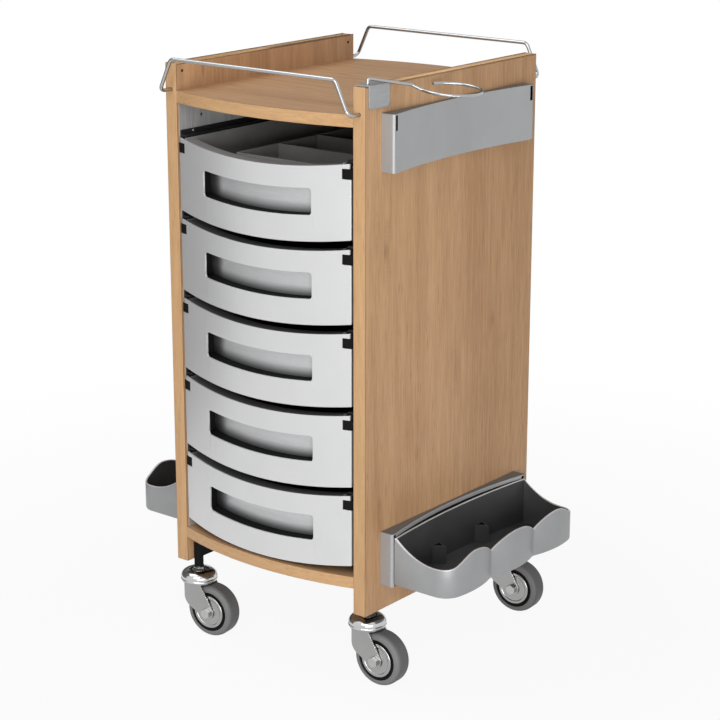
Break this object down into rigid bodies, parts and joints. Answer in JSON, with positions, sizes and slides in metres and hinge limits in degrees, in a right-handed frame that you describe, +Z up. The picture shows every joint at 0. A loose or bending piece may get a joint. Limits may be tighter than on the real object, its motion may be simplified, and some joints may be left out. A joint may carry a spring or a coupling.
{
  "type": "hairdressing salon trolley",
  "caption": "Salon trolley on swivel casters: bow-ended oak carcass with curved pull-out drawers, wire gallery rails, hook-on bottle trays and a clip-on dryer ring.",
  "frame": {"origin": "on the floor under the middle of the carcass", "axes": "+Z up, drawers open towards -Y (the front), +X to the right of a person facing the drawers"},
  "size_m": [0.566, 0.421, 0.8225],
  "materials": {
    "oak_laminate": "satin wood-print laminate",
    "oak_edge": "satin edge band",
    "back_sheet": "satin laminate on thin fibreboard",
    "beech": "raw",
    "grey_liner": "satin sheet",
    "black_plastic": "satin moulding",
    "zinc_steel": "bright zinc plate",
    "bright_chrome": "polished chrome plate",
    "grey_plastic": "satin moulding",
    "silver_sheet": "satin silver coat",
    "dark_tray": "fine-grained moulding",
    "grey_tyre": "smooth non-marking tread"
  },
  "bodies": {
    "carcass": {"side_panel_left": "oak_laminate", "side_panel_right": "oak_laminate", "top_board": "oak_laminate", "bottom_board": "oak_laminate", "back_panel": "back_sheet", "edge_bands": "oak_edge", "liner_left": "grey_liner", "liner_right": "grey_liner", "runners_left": "black_plastic", "runners_right": "black_plastic", "runner_screws": "zinc_steel", "dowels": "beech", "gallery_rail_front": "bright_chrome", "gallery_rail_rear": "bright_chrome", "accessory_holder_upper_right": "grey_plastic", "accessory_holder_lower_right": "grey_plastic", "accessory_holder_lower_left": "grey_plastic", "holder_screws": "zinc_steel", "caster_rails": "black_plastic", "caster_stems": "zinc_steel"},
    "drawer_1": {"drawer_front_1": "silver_sheet", "drawer_tray_1": "dark_tray", "grip_plate_1": "silver_sheet", "drawer_divider": "dark_tray"},
    "drawer_2": {"drawer_front_2": "silver_sheet", "drawer_tray_2": "dark_tray", "grip_plate_2": "silver_sheet"},
    "drawer_3": {"drawer_front_3": "silver_sheet", "drawer_tray_3": "dark_tray", "grip_plate_3": "silver_sheet"},
    "drawer_4": {"drawer_front_4": "silver_sheet", "drawer_tray_4": "dark_tray", "grip_plate_4": "silver_sheet"},
    "drawer_5": {"drawer_front_5": "silver_sheet", "drawer_tray_5": "dark_tray", "grip_plate_5": "silver_sheet"},
    "right_bottle_tray": {"bottle_tray_right": "grey_plastic"},
    "left_bottle_tray": {"bottle_tray_left": "grey_plastic"},
    "dryer_holder": {"dryer_clip": "bright_chrome", "dryer_ring": "bright_chrome"},
    "caster_front_left": {"caster_fork_front_left": "zinc_steel", "caster_dome_front_left": "bright_chrome", "caster_axle_front_left": "zinc_steel"},
    "wheel_front_left": {"wheel_rim_front_left": "black_plastic", "wheel_tyre_front_left": "grey_tyre"},
    "caster_front_right": {"caster_fork_front_right": "zinc_steel", "caster_dome_front_right": "bright_chrome", "caster_axle_front_right": "zinc_steel"},
    "wheel_front_right": {"wheel_rim_front_right": "black_plastic", "wheel_tyre_front_right": "grey_tyre"},
    "caster_rear_left": {"caster_fork_rear_left": "zinc_steel", "caster_dome_rear_left": "bright_chrome", "caster_axle_rear_left": "zinc_steel"},
    "wheel_rear_left": {"wheel_rim_rear_left": "black_plastic", "wheel_tyre_rear_left": "grey_tyre"},
    "caster_rear_right": {"caster_fork_rear_right": "zinc_steel", "caster_dome_rear_right": "bright_chrome", "caster_axle_rear_right": "zinc_steel"},
    "wheel_rear_right": {"wheel_rim_rear_right": "black_plastic", "wheel_tyre_rear_right": "grey_tyre"}
  },
  "joints": [
    {"name": "drawer_1_slide", "type": "slide", "parent": "carcass", "child": "drawer_1", "axis": [0, -1, 0], "range_m": [0, 0.28]},
    {"name": "drawer_2_slide", "type": "slide", "parent": "carcass", "child": "drawer_2", "axis": [0, -1, 0], "range_m": [0, 0.28]},
    {"name": "drawer_3_slide", "type": "slide", "parent": "carcass", "child": "drawer_3", "axis": [0, -1, 0], "range_m": [0, 0.28]},
    {"name": "drawer_4_slide", "type": "slide", "parent": "carcass", "child": "drawer_4", "axis": [0, -1, 0], "range_m": [0, 0.28]},
    {"name": "drawer_5_slide", "type": "slide", "parent": "carcass", "child": "drawer_5", "axis": [0, -1, 0], "range_m": [0, 0.28]},
    {"name": "right_bottle_tray_lift", "type": "slide", "parent": "carcass", "child": "right_bottle_tray", "axis": [0, 0, 1], "range_m": [0, 0.008]},
    {"name": "left_bottle_tray_lift", "type": "slide", "parent": "carcass", "child": "left_bottle_tray", "axis": [0, 0, 1], "range_m": [0, 0.008]},
    {"name": "dryer_holder_lift", "type": "slide", "parent": "carcass", "child": "dryer_holder", "axis": [0, 0, 1], "range_m": [0, 0.03]},
    {"name": "caster_front_left_swivel", "type": "hinge", "parent": "carcass", "child": "caster_front_left", "pos_m": [-0.1435, -0.171, 0.075], "axis": [0, 0, 1], "continuous": true},
    {"name": "wheel_front_left_spin", "type": "hinge", "parent": "caster_front_left", "child": "wheel_front_left", "pos_m": [-0.11868, -0.16804, 0.0375], "axis": [-0.1184, 0.993, 0], "continuous": true},
    {"name": "caster_front_right_swivel", "type": "hinge", "parent": "carcass", "child": "caster_front_right", "pos_m": [0.1435, -0.149, 0.075], "axis": [0, 0, 1], "continuous": true},
    {"name": "wheel_front_right_spin", "type": "hinge", "parent": "caster_front_right", "child": "wheel_front_right", "pos_m": [0.16848, -0.14808, 0.0375], "axis": [-0.0366, 0.9993, 0], "continuous": true},
    {"name": "caster_rear_left_swivel", "type": "hinge", "parent": "carcass", "child": "caster_rear_left", "pos_m": [-0.1435, 0.149, 0.075], "axis": [0, 0, 1], "continuous": true},
    {"name": "wheel_rear_left_spin", "type": "hinge", "parent": "caster_rear_left", "child": "wheel_rear_left", "pos_m": [-0.1186, 0.15118, 0.0375], "axis": [-0.0872, 0.9962, 0], "continuous": true},
    {"name": "caster_rear_right_swivel", "type": "hinge", "parent": "carcass", "child": "caster_rear_right", "pos_m": [0.1435, 0.171, 0.075], "axis": [0, 0, 1], "continuous": true},
    {"name": "wheel_rear_right_spin", "type": "hinge", "parent": "caster_rear_right", "child": "wheel_rear_right", "pos_m": [0.16842, 0.173, 0.0375], "axis": [-0.0802, 0.9968, 0], "continuous": true}
  ]
}
